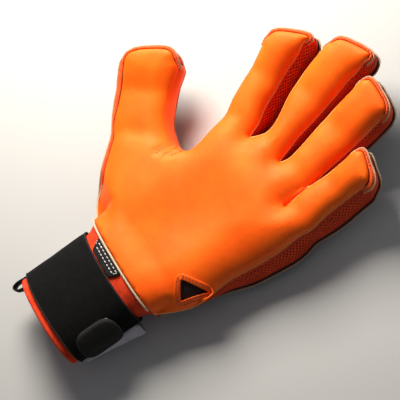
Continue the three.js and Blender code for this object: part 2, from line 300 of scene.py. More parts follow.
thumb_foot = thumb.side(-1, 2, 6)[0, :2]
runs = [(inset_run([WRIST_THUMB, *THENAR, thumb_foot], strip_inset), TIP)]
for n, digit in enumerate(DIGITS):
    if n == 1:
        web = spline([thumb.side(1, 2, 6)[0, :2], *WEB, index.side(-1, 3, 6)[0, :2]])
        runs.append((np.c_[web, np.zeros(len(web))], ROLL))
    elif n > 1:
        runs.append((np.array([(*CROTCHES[digit.name], 0.0)]), GUSSET))
    runs.append((digit.side(-1, 4, digit.reach(-1)[1]), (TIP, ROLL, GUSSET, GUSSET, GUSSET)[n]))
    runs.append((digit.tip_arc(), TIP))
    runs.append((digit.side(1, 4, digit.reach(1)[1])[::-1], ROLL if n == 0 else GUSSET))
little_foot = DIGITS[4].side(1, 2, 6)[0, :2]
runs.append((inset_run([little_foot, *HEEL, WRIST_OUTER], heel_inset), GUSSET))
run_kinds = np.concatenate([[k] * len(r) for r, k in runs])
edge, seam_kind = resample(np.vstack([r for r, _ in runs]), EDGE_STEP, run_kinds)
edge[:, :2] = relax(edge[:, :2], 2)
edge[:, 2:] = relax(edge[:, 2:], 3)
seam_out = normals_2d(relax(edge[:, :2], 3))
seam = relax(edge[:, :2] - seam_out * edge[:, 2:], 2)
wrist_line = resample([WRIST_OUTER, WRIST_THUMB], EDGE_STEP)
outline = np.vstack([seam, wrist_line[1:-1]])

WRIST_TURN = math.atan2(*(WRIST_OUTER - WRIST_THUMB)[::-1])
CUFF_X = np.array([math.cos(WRIST_TURN), math.sin(WRIST_TURN)])
CUFF_F = np.array([math.sin(WRIST_TURN), -math.cos(WRIST_TURN)])
CUFF_AT = (WRIST_THUMB + WRIST_OUTER) / 2


def nearest_digit(p, margin=6.0):
    """For each point its digit or -1, how much it belongs there, and its place along that digit."""
    best = np.zeros(len(p))
    which = np.full(len(p), -1)
    along = np.full(len(p), -99.0)
    for n, digit in enumerate(DIGITS):
        u, v = digit.local(p)
        half = digit.width(np.clip(v, 0, digit.tip))
        half = half + np.where(u < 0, *digit.flare) * ramp(digit.tip - 26, digit.tip - 6, v)
        belongs = ramp(-16, digit.root + 4, v) * (1 - ramp(half + 0.8, half + margin, np.abs(u)))
        better = belongs > best
        best[better], which[better], along[better] = belongs[better], n, v[better]
    return which, best, along


def field(p):
    """The ridge's height, the depth, the width and drop of the rounded edges, and where each point is."""
    which, belongs, v = nearest_digit(p)
    up = -(p - CUFF_AT) @ CUFF_F
    wrist = 1 - ramp(-2, 24, up)
    outer = ramp(-34, 30, p[:, 0])
    open_palm = outer * ramp(2, 60, up) + (1 - outer) * ramp(1, 30, up)
    ridge = PALM_TOP + 5.0 * wrist
    depth = PALM_DEPTH + 0.8 * wrist
    spread = 36 + (15 + 4 * outer - 36) * open_palm
    drop = 20.2 + (5.0 + 6.0 * outer - 20.2) * open_palm
    heel_side = ramp(4, 46, p[:, 0]) * (1 - ramp(66, 104, p[:, 1])) * open_palm
    spread = spread + 24 * heel_side
    drop = drop + 6.0 * heel_side
    back_drop = 20.2 + (8.5 - 20.2) * ramp(2, 50, up)
    for n, digit in enumerate(DIGITS):
        mine = which == n
        w, along = belongs[mine], v[mine]
        across = digit.local(p[mine])[0]
        ridge[mine] += digit.rise(along)
        depth[mine] += w * (digit.depth(along) - depth[mine])
        spread[mine] += w * (digit.shaped(across, along, digit.spread) - spread[mine])
        drop[mine] += w * (digit.shaped(across, along, digit.drop) - drop[mine])
        back_drop[mine] += w * (6.5 - back_drop[mine])
    return ridge, depth, spread, drop, back_drop, which, belongs, v, up


def relief(p, which, belongs, v, up):
    """The hand's shape under the latex: the thumb's ball, the heel, the hollow and the roots' creases."""
    def bump(x, y, rx, ry, turn=0.0):
        c, s = math.cos(turn), math.sin(turn)
        q = p - np.array([x, y])
        across, along = q[:, 0] * c + q[:, 1] * s, -q[:, 0] * s + q[:, 1] * c
        return np.exp(-((across / rx) ** 2) - ((along / ry) ** 2))
    out = 3.4 * bump(-30, 46, 24, 34, 0.5) + 1.8 * bump(44, 42, 18, 34) - 3.4 * bump(8, 58, 22, 30, -0.1)
    out += 1.6 * bump(20, 104, 46, 14, -0.1) - 1.4 * bump(-26, 80, 9, 26, 0.9)
    for n, digit in enumerate(DIGITS):
        mine = (which == n) & (belongs > 0.02)
        along = v[mine]
        out[mine] -= 1.5 * belongs[mine] * np.exp(-(((along - digit.root + 6) / 6.5) ** 2))
        out[mine] -= 0.9 * np.exp(-(((along - digit.middle) / 6) ** 2))
        out[mine] += 0.9 * np.exp(-(((along - (digit.middle + digit.tip) / 2) / 11) ** 2))
    for line in WEB_SEAMS:
        out -= 1.3 * np.exp(-((distance(p, line) / 1.5) ** 2))
    out += 0.16 * value_noise(p, 17, 3) + 0.05 * value_noise(p, 5, 4)
    return out * ramp(-1, 14, up)


def quarter(d, spread):
    """1 at an edge and 0 where the face is open, along a quarter of an ellipse."""
    x = 1 - np.clip(d / spread, 0, 1)
    return 1 - np.sqrt(np.maximum(0, 1 - x * x))


def back_relief(p, which, v, up, d):
    """Foam pads on the backhand, parted by grooves. Depth of the groove, 0 to 1."""
    groove = np.zeros(len(p))
    for n, digit in enumerate(DIGITS):
        mine = which == n
        cuts = [digit.root + 1, (digit.root + digit.middle) / 2]
        cuts += [digit.middle, (digit.middle + digit.tip) / 2 - 2]
        for cut in cuts:
            groove[mine] = np.maximum(groove[mine], np.exp(-(((v[mine] - cut) / 1.5) ** 2)))
    open_back = (up > 14) & ((v < -2) | (which < 0))
    for k in range(6):
        chevron = 34 + 13 * k - 0.28 * np.abs(p[:, 0] - 8) + 0.06 * (p[:, 0] - 8)
        line = np.exp(-(((p[:, 1] - chevron) / 1.6) ** 2)) * (1 - ramp(40, 50, np.abs(p[:, 0] - 8)))
        groove = np.maximum(groove, np.where(open_back, line, 0))
    return groove * ramp(3, 7, d)


def wrist_shell(p):
    """Half the height of the tube that the palm and the backhand close into at the wrist."""
    x = np.clip(np.abs((p - CUFF_AT) @ CUFF_X) / WRIST_HALF_WIDTH, 0, 1)
    return WRIST_HALF_HEIGHT * (1 - x**WRIST_POWER) ** (1 / WRIST_POWER)


def front_height(p, d):
    ridge, depth, spread, drop, _, which, belongs, v, up = field(p)
    q = quarter(d, spread)
    open_height = ridge + relief(p, which, belongs, v, up) * (1 - q) ** 0.5 - drop * q
    at_wrist = 1 - ramp(1, 24, up)
    return open_height * (1 - at_wrist) + (CUFF_HEIGHT + wrist_shell(p)) * at_wrist


def back_height(p, d):
    ridge, depth, spread, _, back_drop, which, belongs, v, up = field(p)
    groove = back_relief(p, which, v, up, d)
    open_height = ridge - depth + back_drop * quarter(d, spread * 0.8) + 1.1 * groove
    at_wrist = 1 - ramp(1, 24, up)
    return open_height * (1 - at_wrist) + (CUFF_HEIGHT - wrist_shell(p)) * at_wrist


def fill(boundary, edge, holes=(), rings=(0.3, 1.0, 2.0, 3.3, 4.9, 6.9, 9.2, 11.8)):
    """Triangles inside a boundary, in rows that follow its seam so that the rounded edge is smooth."""
    out = normals_2d(edge)
    points = [tuple(q) for q in boundary]
    taken = {}

    def free(q, r):
        cell = (int(q[0] // 2), int(q[1] // 2))
        for i in (-1, 0, 1):
            for j in (-1, 0, 1):
                for o in taken.get((cell[0] + i, cell[1] + j), ()):
                    if (o[0] - q[0]) ** 2 + (o[1] - q[1]) ** 2 < r * r:
                        return False
        taken.setdefault(cell, []).append(q)
        return True

    hole_lines = [np.asarray(h) for h in holes]
    before = 0.0
    for ring in rings:
        candidates = edge - out * ring
        good = (distance(candidates, edge) > 0.93 * ring) & inside(candidates, boundary)
        good &= distance(candidates, boundary, True) > 0.25
        for q in candidates[good]:
            if free(tuple(q), min(0.55 * (ring - before) + 0.25, 1.3)):
                points.append(tuple(q))
        before = ring
    lo, hi = boundary.min(0), boundary.max(0)
    xs = np.arange(lo[0], hi[0], PITCH)
    ys = np.arange(lo[1], hi[1], PITCH * 0.866)
    grid = np.array([(x + (j % 2) * PITCH / 2, y) for j, y in enumerate(ys) for x in xs])
    grid = grid[inside(grid, boundary)]
    far = (distance(grid, edge) > rings[-1] * 0.5) & (distance(grid, boundary, True) > 1.2)
    for q in grid[far]:
        if free(tuple(q), 1.75):
            points.append(tuple(q))
    edges = [(i, (i + 1) % len(boundary)) for i in range(len(boundary))]
    pts = np.array(points)
    keep = np.ones(len(pts), bool)
    for h in hole_lines:
        inner = pts[len(boundary):]
        keep[len(boundary):] &= ~inside(inner, h) & (distance(inner, h, True) > 0.9)
    pts = pts[keep]
    hole_ids = []
    for h in hole_lines:
        start = len(pts)
        hole_ids.append(list(range(start, start + len(h))))
        edges += [(start + i, start + (i + 1) % len(h)) for i in range(len(h))]
        pts = np.vstack([pts, h])
    verts, _, faces, orig, _, _ = delaunay_2d_cdt([Vector(q) for q in pts], edges, [], 0, 1e-6)
    verts = np.array([tuple(q) for q in verts])
    faces = np.array([f[:] for f in faces if len(f) == 3])
    centre = verts[faces].mean(1)
    good = inside(centre, boundary)
    for h in hole_lines:
        good &= ~inside(centre, h)
    faces = faces[good]
    turn = np.cross(verts[faces[:, 1]] - verts[faces[:, 0]], verts[faces[:, 2]] - verts[faces[:, 0]])
    faces[turn < 0] = faces[turn < 0][:, ::-1]
    return verts, faces, hole_ids


# ---- Meshes ----
class Build:
    """Vertices in mm and faces, gathered before they are cut into pieces, one for each zone."""

    def __init__(self):
        self.v, self.f, self.m, self.count = [], [], [], 0

    def add(self, verts, faces, material=0):
        verts = np.asarray(verts, float).reshape(-1, 3)
        self.v.append(verts)
        self.f += [tuple(int(i) + self.count for i in f) for f in faces]
        self.m += [material] * len(faces)
        self.count += len(verts)
        return self

    def arrays(self):
        return np.vstack(self.v), self.f, self.m


def grid_faces(rows, cols, close_rows=False, close_cols=False, flip=False):
    out = []
    for i in range(rows if close_rows else rows - 1):
        for j in range(cols if close_cols else cols - 1):
            a, b = i * cols + j, i * cols + (j + 1) % cols
            c, d = ((i + 1) % rows) * cols + (j + 1) % cols, ((i + 1) % rows) * cols + j
            out.append((a, b, c, d) if flip else (a, d, c, b))
    return out


def weld_points(verts, faces, tolerance=1e-3):
    key = np.round(verts / tolerance).astype(np.int64)
    _, first, back = np.unique(key, axis=0, return_index=True, return_inverse=True)
    back = np.asarray(back).reshape(-1)
    faces = [tuple(back[list(f)]) for f in faces]
    return verts[first], faces


def vertex_normals(verts, faces):
    out = np.zeros_like(verts)
    for size in (3, 4):
        group = np.array([f for f in faces if len(f) == size])
        if len(group):
            first, second, third, last = (verts[group[:, k]] for k in (0, 1, 2, -1))
            if size == 3:
                n = np.cross(second - first, third - first)
            else:
                n = np.cross(third - first, last - second)
            for k in range(size):
                np.add.at(out, group[:, k], n)
    return unit(out)


def to_row(verts):
    out = np.array(verts, float)
    out[:, :2] += SHIFT
    return out * 0.001


def make_object(name, verts, faces, materials, indices, normals=None):
    mesh = bpy.data.meshes.new(name)
    mesh.from_pydata(to_row(verts).tolist(), [], [tuple(int(i) for i in f) for f in faces])
    for material in materials:
        mesh.materials.append(material)
    mesh.polygons.foreach_set("material_index", np.asarray(indices, np.int32))
    mesh.polygons.foreach_set("use_smooth", [True] * len(mesh.polygons))
    mesh.update()
    if normals is not None:
        mesh.normals_split_custom_set_from_vertices(normals.tolist())
    obj = bpy.data.objects.new(name, mesh)
    bpy.context.scene.collection.objects.link(obj)
    return obj


def zone_of(p):
    """0 on the palm and cuff, 1 + 2n across digit n's root bend and 2 + 2n beyond its lower part's middle."""
    which, _, v = nearest_digit(p, 11.0)
    zone = np.zeros(len(p), int)
    for n, digit in enumerate(DIGITS):
        mine = (which == n) & (v > digit.root - 10)
        zone[mine & (v <= digit.split)] = 1 + 2 * n
        zone[mine & (v > digit.split)] = 2 + 2 * n
    return zone


def place(obj, zone):
    """Moves a piece with the hand, or else bakes its placement into its mesh and leaves it where it lies."""
    if zone == 0:
        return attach(obj, "hand")
    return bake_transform(obj)


def emit(name, build, materials, weld=True):
    """Cuts what was built along the digits' zones, places each piece and gives the pieces by zone."""
    verts, faces, index = build.arrays()
    if weld:
        verts, faces = weld_points(verts, faces)
    normals = vertex_normals(verts, faces)
    centre = np.array([verts[list(f)].mean(0)[:2] for f in faces])
    zones = zone_of(centre)
    made = {}
    for zone in sorted(set(zones)):
        ids = np.flatnonzero(zones == zone)
        used = np.unique(np.concatenate([np.array(faces[i]) for i in ids]))
        remap = {int(o): k for k, o in enumerate(used)}
        part = [tuple(remap[int(i)] for i in faces[f]) for f in ids]
        where = "palm"
        if zone:
            where = f"{DIGITS[(zone - 1) // 2].name}_{'upper' if zone % 2 == 0 else 'lower'}"
        indices = [index[i] for i in ids]
        obj = make_object(f"{name}_{where}", verts[used], part, materials, indices, normals[used])
        place(obj, zone)
        made[int(zone)] = obj
    return made


# ---- Materials ----
class Shader:
    def __init__(self, name, color, roughness=0.7, sheen=0.0, subsurface=0.0, shine=0.5):
        self.material = bpy.data.materials.new(name)
        self.material.use_nodes = True
        self.nodes = self.material.node_tree.nodes
        self.links = self.material.node_tree.links
        self.bsdf = self.nodes["Principled BSDF"]
        self.put(self.bsdf, {
            "Base Color": (*color, 1), "Roughness": roughness, "Sheen Weight": sheen,
            "Subsurface Weight": subsurface, "Subsurface Radius": (0.012, 0.004, 0.002),
            "Subsurface Scale": 0.2, "Specular IOR Level": shine,
        })
        self.coords = self.nodes.new("ShaderNodeTexCoord").outputs["Object"]
        self.normal = None

    def put(self, node, inputs):
        """Links the inputs given as sockets, and sets the others."""
        for key, value in inputs.items():
            if isinstance(value, bpy.types.NodeSocket):
                self.links.new(value, node.inputs[key])
            else:
                node.inputs[key].default_value = value

    def node(self, kind, output, inputs):
        node = self.nodes.new("ShaderNode" + kind)
        self.put(node, inputs)
        return node.outputs[output]

    def noise(self, scale, detail=3.0, rough=0.55):
        inputs = {"Scale": scale, "Detail": detail, "Roughness": rough, "Vector": self.coords}
        return self.node("TexNoise", "Fac", inputs)

    def cells(self, scale):
        return self.node("TexVoronoi", "Distance", {"Scale": scale, "Vector": self.coords})

    def bands(self, scale, turn, distortion=0.3):
        turned = self.node("Mapping", "Vector", {"Rotation": turn, "Vector": self.coords})
        return self.node("TexWave", "Fac", {"Scale": scale, "Distortion": distortion, "Vector": turned})

    def paint(self, stops, fac):
        """Base colour from a ramp over fac."""
        node = self.nodes.new("ShaderNodeValToRGB")
        while len(node.color_ramp.elements) < len(stops):
            node.color_ramp.elements.new(0.5)
        for element, (position, color) in zip(node.color_ramp.elements, stops):
            element.position = position
            element.color = (*color, 1)
        self.put(node, {"Fac": fac})
        self.put(self.bsdf, {"Base Color": node.outputs["Color"]})

    def bump(self, height, strength, distance):
        inputs = {"Strength": strength, "Distance": distance, "Height": height}
        if self.normal:
            inputs["Normal"] = self.normal
        self.normal = self.node("Bump", "Normal", inputs)
        self.put(self.bsdf, {"Normal": self.normal})

    def rough(self, low, high, fac):
        value = self.node("MapRange", "Result", {"To Min": low, "To Max": high, "Value": fac})
        self.put(self.bsdf, {"Roughness": value})


def latex_material():
    s = Shader("foam_latex", (0.95, 0.12, 0.004), 0.5, subsurface=0.1)
    s.bsdf.inputs["Specular Tint"].default_value = (1.0, 0.7, 0.35, 1)
    tone = s.noise(38, 5)
    s.paint([(0.3, (0.94, 0.092, 0.001)), (0.55, (0.96, 0.118, 0.002)), (0.75, (0.98, 0.15, 0.005))], tone)
    s.rough(0.48, 0.68, s.noise(120, 4))
    s.bump(s.noise(2600, 2, 0.6), 0.35, 0.0002)
    s.bump(s.noise(900, 3), 0.25, 0.0004)
    s.bump(s.noise(300, 3), 0.12, 0.0006)
    return s.material


def mesh_material(name, dark, light):
    s = Shader(name, light, 0.75, shine=0.2)
    s.paint([(0.3, dark), (0.7, light)], s.noise(900, 3))
    s.bump(s.cells(2400), 0.5, 0.0002)
    return s.material


def knit_material(name, dark, light, turn=(0, 0, 0), scale=520, depth=0.0002, rough=0.8, shine=0.4):
    s = Shader(name, light, rough, sheen=0.1 if shine > 0.3 else 0.0, shine=shine)
    rows = s.bands(scale, turn)
    cross = s.bands(scale * 0.8, (turn[0], turn[1], turn[2] + math.pi / 2), 0.8)
    s.paint([(0.3, dark), (0.72, light)], s.noise(240, 5))
    s.bump(rows, 0.45, depth)
    s.bump(cross, 0.3, depth)
    s.bump(s.noise(60, 3), 0.25, 0.0008)
    return s.material


def thread_material(name, color):
    s = Shader(name, color, 0.55, sheen=0.2)
    s.paint([(0.35, tuple(0.72 * c for c in color)), (0.65, color)], s.noise(2500, 2))
    s.bump(s.bands(2600, (0.4, 0.3, 0.8)), 0.4, 0.0001)
    return s.material


def groove_material():
    s = Shader("backhand_foam", (0.02, 0.02, 0.022), 0.6, shine=0.25)
    s.paint([(0.3, (0.012, 0.012, 0.014)), (0.7, (0.034, 0.034, 0.038))], s.noise(160, 5))
    s.rough(0.5, 0.75, s.noise(90, 3))
    s.bump(s.cells(1500), 0.35, 0.0003)
    s.bump(s.noise(60, 3), 0.2, 0.0008)
    return s.material


forearm_turn = (0, 0, math.pi / 2 + WRIST_TURN)
LATEX = latex_material()
CUT_EDGE = thread_material("latex_cut_edge", (0.98, 0.42, 0.1))
MESH = mesh_material("gusset_mesh", (0.5, 0.03, 0.006), (0.9, 0.075, 0.012))
# Painted shade: a near-black red for the hollow behind the gusset mesh, the groove in the tips' seam and the
# pit under the heel window's mesh.
PAINTED_SHADE = mesh_material("gusset_lining", (0.05, 0.004, 0.002), (0.11, 0.008, 0.004))
BINDING = knit_material("tip_binding", (0.72, 0.06, 0.008), (0.96, 0.13, 0.014), scale=900, shine=0.25)
CREAM = thread_material("cream_edge", (0.6, 0.47, 0.3))
WHITE = thread_material("white_thread", (0.72, 0.7, 0.66))
FRAY = thread_material("frayed_edge", (0.5, 0.3, 0.17))
RED_THREAD = thread_material("red_thread", (0.5, 0.03, 0.01))
ORANGE_THREAD = thread_material("orange_thread", (0.95, 0.16, 0.03))
FOAM = groove_material()
CUFF = knit_material("cuff_neoprene", (0.55, 0.028, 0.007), (0.82, 0.06, 0.011), forearm_turn, 700,
                     shine=0.2)
ELASTIC = knit_material("wrap_elastic", (0.002, 0.002, 0.002), (0.005, 0.0048, 0.0048), forearm_turn, 620,
                        0.00025, shine=0.1)
HEM = knit_material("wrap_hem", (0.014, 0.014, 0.0145), (0.026, 0.026, 0.027), forearm_turn, 900,
                    shine=0.15)
GREY = mesh_material("loop_fabric", (0.34, 0.32, 0.36), (0.5, 0.48, 0.53))
TAB_FACE = knit_material("tab_face", (0.009, 0.0085, 0.0075), (0.016, 0.015, 0.0135), forearm_turn, 800,
                         rough=0.6, shine=0.15)
DARK_MESH = mesh_material("vent_mesh", (0.01, 0.01, 0.011), (0.035, 0.034, 0.036))
WEBBING = knit_material("webbing", (0.007, 0.007, 0.008), (0.02, 0.02, 0.022), forearm_turn, 1200,
                        shine=0.15)

# ---- Palm latex ----
vent = relax(resample(np.vstack([VENT, VENT[:1]]), 1.1)[:-1], 3, True)
palm_plan, palm_faces, hole_ids = fill(outline, seam, [vent])
front = np.c_[palm_plan, front_height(palm_plan, distance(palm_plan, seam))]
seam_front = np.c_[seam, front_height(seam, np.zeros(len(seam)))]


def softened(mask):
    """A mask or a row of values along the seam, smoothed."""
    return relax(mask.astype(float)[:, None], 4)[:, 0]


# The backhand's seam stands out a little past the latex, and is drawn in under the heel.
from_wrist = ramp(-6, 14, -(edge[:, :2] - CUFF_AT) @ CUFF_F)
heel_pull = 5.0 * (1 - ramp(24, 64, edge[:, 1])) * (edge[:, 0] > 30) * from_wrist
stand_out = 2.2 * ramp(30, 64, edge[:, 1]) * ramp(60, 74, edge[:, 0] - 0.22 * (edge[:, 1] - 94))
tip_pull = 1.8 * softened((seam_kind == TIP) & (edge[:, 1] > 100))
back_seam = relax(edge[:, :2] + seam_out * (stand_out - heel_pull - tip_pull)[:, None], 2)
back_outline = np.vstack([back_seam, wrist_line[1:-1]])
back_plan, back_faces, _ = fill(back_outline, back_seam)
back = np.c_[back_plan, back_height(back_plan, distance(back_plan, back_seam))]
seam_back = np.c_[back_seam, back_height(back_seam, np.zeros(len(back_seam)))]
seam_back[:, 2] = np.minimum(seam_back[:, 2], seam_front[:, 2] - 0.5)

# The way to the next digit from each place, by the palm's seam or the backhand's, limits the bulge.
gap = np.full(len(seam), 40.0)
for line in (seam, back_seam):
    for i in range(len(line)):
        rel = line - line[i]
        far = (np.abs(np.arange(len(line)) - i) > 5) & (rel @ seam_out[i] > 0.2)
        if far.any():
            gap[i] = min(gap[i], np.linalg.norm(rel[far], axis=1).min())
most_bulge = np.where(seam_kind == TIP, 1.4, 2.2)
bulge = softened(np.clip((gap - 1.0) * 0.25, 0, most_bulge))
bulge *= np.clip((seam_front[:, 2] - seam_back[:, 2]) / 12, 0, 1)

# Round the tips and the thumb's outer edge the side starts with a nearly flat shelf, which the strip covers.
SHELF = 0.14
flatness = softened(seam_kind == TIP)


def side_point(i, s, lift=0.0):
    """A point of the glove's side: i runs along the seam, s from the latex at 0 to the backhand at 1."""
    i, s = np.asarray(i, float), np.asarray(s, float)
    k = np.clip(i.astype(int), 0, len(seam) - 2)
    t = (i - k)[..., None]
    top = seam_front[k] * (1 - t) + seam_front[k + 1] * t
    low = seam_back[k] * (1 - t) + seam_back[k + 1] * t
    out = seam_out[k] * (1 - t) + seam_out[k + 1] * t
    swell = (bulge[k] * (1 - t[..., 0]) + bulge[k + 1] * t[..., 0]) * 4 * s * (1 - s) + lift
    flat = (flatness[k] * (1 - t[..., 0]) + flatness[k + 1] * t[..., 0])[..., None]
    s = s[..., None]
    shelved = np.where(s < SHELF, 0.35 * s, s - 0.65 * SHELF * (1 - s) / (1 - SHELF))
    level = s * (1 - flat) + flat * shelved
    sideways = s * (1 - flat) + flat * np.clip(s / SHELF, 0, 1)
    p = top * (1 - level) + low * level
    p[..., :2] = (top * (1 - sideways) + low * sideways)[..., :2]
    p[..., :2] += out * swell[..., None]
    return p


def runs_of(mask):
    """First and last places of each unbroken run of True."""
    edges = np.flatnonzero(np.diff(np.r_[0, mask.astype(int), 0]))
    return list(zip(edges[::2], edges[1::2] - 1))


def side_strip(i0, i1, rows, lift=0.0):
    """The whole height of the side between two places on the seam, as vertices and faces."""
    i = np.arange(i0, i1 + 1e-6)
    ii, ss = np.meshgrid(i, np.linspace(0, 1, rows), indexing="ij")
    return side_point(ii, ss, lift).reshape(-1, 3), grid_faces(len(i), rows)


UP = np.array([0, 0, 1.0])


def lip(points, offset):
    """A band hung from a line of points, such as the thickness of a cut edge."""
    points = np.asarray(points)
    low = points + np.asarray(offset)
    verts = np.stack([points, low], 1).reshape(-1, 3)
    return verts, grid_faces(len(points), 2)


palm = Build()
palm.add(front, palm_faces)
for i0, i1 in runs_of(seam_kind == ROLL):
    palm.add(*side_strip(i0, i1, 9))
hole = front[hole_ids[0]]
hole = np.vstack([hole, hole[:1]])
v, f = lip(hole, (0, 0, -2.6))
palm.add(v, [tuple(reversed(q)) for q in f])
wrist_front = np.c_[wrist_line, front_height(wrist_line, distance(wrist_line, seam))]
palm.add(*lip(wrist_front, (0, 0, -3.0)))
latex = emit("latex", palm, [LATEX])

hand = Build()
hand.add(back, [tuple(reversed(t)) for t in back_faces])
wrist_back = np.c_[wrist_line, back_height(wrist_line, distance(wrist_line, back_seam))]
v, f = lip(wrist_back, (0, 0, 3.0))
hand.add(v, [tuple(reversed(q)) for q in f])

# The backhand's edge is turned over into a rim, thinner where the next digit is close.
rimmed = softened((seam_kind != ROLL) & (seam[:, 0] > -20))[:, None]
rim = 0.3 + rimmed * (np.clip(0.18 * gap, 0.4, 1.5)[:, None] - 0.3)
line = side_point(np.arange(len(seam)), np.ones(len(seam)))
outward = np.c_[seam_out, np.zeros(len(seam))]
circle = np.arange(8) * math.pi / 4
around = np.cos(circle)[None, :, None] * outward[:, None] + np.sin(circle)[None, :, None] * UP
rim_points = (line + 0.6 * rim * outward)[:, None] + rim[:, None] * around
hand.add(rim_points.reshape(-1, 3), grid_faces(len(seam), 8, False, True))
backhand = emit("backhand", hand, [FOAM])


# ---- Gussets ----
def perforated(i0, i1, rows, cell=1.55):
    """A strip of mesh with a round hole in every other cell, so that the holes are staggered."""
    length = np.linalg.norm(np.diff(seam_front[i0:i1 + 1], axis=0), axis=1).sum()
    cols = max(2, int(round(length / cell)))
    ii = np.linspace(i0, i1, cols + 1)
    ss = np.linspace(0.02, 0.98, rows + 1)
    ids = np.arange((cols + 1) * (rows + 1)).reshape(cols + 1, rows + 1)
    gi, gs = np.meshgrid(ii, ss, indexing="ij")
    pts = [np.c_[gi.ravel(), gs.ravel()]]
    count = ids.size
    faces = []
    angle = np.arange(8) * math.pi / 4 + math.pi / 8
    for a in range(cols):
        for b in range(rows):
            corners = [ids[a, b], ids[a + 1, b], ids[a + 1, b + 1], ids[a, b + 1]]
            if (a + b) % 2 or b in (0, rows - 1):
                faces.append(tuple(corners))
                continue
            ci, cs = (ii[a] + ii[a + 1]) / 2, (ss[b] + ss[b + 1]) / 2
            ri, rs = 0.40 * (ii[1] - ii[0]), 0.40 * (ss[1] - ss[0])
            pts.append(np.c_[ci + ri * np.cos(angle), cs + rs * np.sin(angle)])
            o = [count + k for k in range(8)]
            count += 8
            c00, c10, c11, c01 = corners
            faces += [(c10, c11, o[0], o[7]), (c11, o[1], o[0]), (c11, c01, o[2], o[1]), (c01, o[3], o[2]),
                      (c01, c00, o[4], o[3]), (c00, o[5], o[4]), (c00, c10, o[6], o[5]), (c10, o[7], o[6])]
    pts = np.vstack(pts)
    return side_point(pts[:, 0], pts[:, 1]), faces


gusset = Build()
# Just inside the perforated mesh lies a near-black sheet of painted shade, which shows through the holes.
shade_sheet = Build()
for i0, i1 in runs_of(seam_kind != ROLL):
    cut = zone_of(seam[i0:i1 + 1])
    for a, b in [(i0 + s, min(i0 + e + 1, i1)) for s, e in sum([runs_of(cut == z) for z in set(cut)], [])]:
        height = np.median(seam_front[a:b + 1, 2] - seam_back[a:b + 1, 2])
        gusset.add(*perforated(a, b, int(np.clip(round(height / 1.5), 4, 11))))
    shade_sheet.add(*side_strip(i0, i1, 5, -0.8))
gussets = emit("gusset", gusset, [MESH])
shade_sheets = emit("gusset_painted_shade", shade_sheet, [PAINTED_SHADE])


# ---- Seams ----
def sweep(line, side, up, section, closed=False):
    """A small section drawn along a line. side and up are unit vectors at each point."""
    section = np.asarray(section, float)
    pts = line[:, None] + section[None, :, :1] * side[:, None] + section[None, :, 1:] * up[:, None]
    rows, cols = len(line), len(section)
    faces = grid_faces(rows, cols, closed, True)
    if not closed:
        faces += [tuple(range(cols)), tuple(reversed(range((rows - 1) * cols, rows * cols)))]
    return pts.reshape(-1, 3), faces


def ring_section(r, sides=6, squash=1.0):
    a = np.arange(sides) * 2 * math.pi / sides
    return np.c_[r * np.cos(a), r * squash * np.sin(a)]


def stitches(line, up, pitch=3.4, length=2.3, radius=0.33):
    """Threads sewn along a line: each dives under at both ends."""
    s = np.r_[0, np.cumsum(np.linalg.norm(np.diff(line, axis=0), axis=1))]
    out = Build()
    lifts, sizes = (-0.35, 0.22, 0.22, -0.35), (0.55, 1.0, 1.0, 0.55)
    for start in np.arange(pitch * 0.3, s[-1] - length, pitch):
        at = start + np.array([0, 0.22, 0.78, 1]) * length
        centre = np.stack([np.interp(at, s, line[:, k]) for k in range(3)], 1)
        top = unit(np.stack([np.interp(at, s, up[:, k]) for k in range(3)], 1))
        along = unit(np.gradient(centre, axis=0))
        across = unit(np.cross(along, top))
        centre = centre + top * np.array(lifts)[:, None] * radius * 3
        ring = []
        for k in range(4):
            for a in np.arange(6) * math.pi / 3:
                spoke = math.cos(a) * across[k] + math.sin(a) * top[k]
                ring.append(centre[k] + radius * sizes[k] * spoke)
        out.add(ring, grid_faces(4, 6, False, True) + [tuple(range(6)), tuple(range(23, 17, -1))])
    return out


def merge(target, source, material):
    if source.count:
        v, f, _ = source.arrays()
        target.add(v, f, material)


def side_line(i0, i1, s, lift=0.0):
    i = np.arange(i0, i1 + 1)
    return side_point(i, np.full(len(i), s), lift), np.c_[seam_out[i0:i1 + 1], np.zeros(i1 + 1 - i0)]


def raised(index_run, s, out_by, up_by):
    """Points beside the side's surface, out_by mm away from it in the plan and up_by mm above it."""
    return side_point(index_run, np.full(len(index_run), s), out_by) + np.array([0, 0, up_by])


edges = Build()
threads = Build()
CORD = [(-0.3, 0.5), (0.35, 0.35), (0.55, -0.1), (0.3, -0.5), (-0.3, -0.5)]
FRAYED = [(-0.4, 0.45), (0.35, 0.35), (0.6, 0.0), (0.35, -0.4), (-0.4, -0.4)]
for i0, i1 in runs_of(seam_kind == GUSSET):
    line, out = side_line(i0, i1, 0.0)
    up = np.tile(UP, (len(line), 1))
    edges.add(*sweep(line + out * 0.1 * value_noise(line, 2.2, 5)[:, None], out, up, CORD))
    height = np.maximum(seam_front[i0:i1 + 1, 2] - seam_back[i0:i1 + 1, 2], 1)
    row = side_point(np.arange(i0, i1 + 1), np.clip(2.4 / height, 0, 0.5), 0.05)
    merge(threads, stitches(row, out), 0)
line, out = side_line(0, len(seam) - 1, 1.0)
up = np.tile(UP, (len(line), 1))
frayed_by = 1.35 * rim + 0.28 * value_noise(line, 1.1, 6)[:, None]
edges.add(*sweep(line + out * frayed_by + 0.5 * rim * up, out, up, FRAYED), 1)
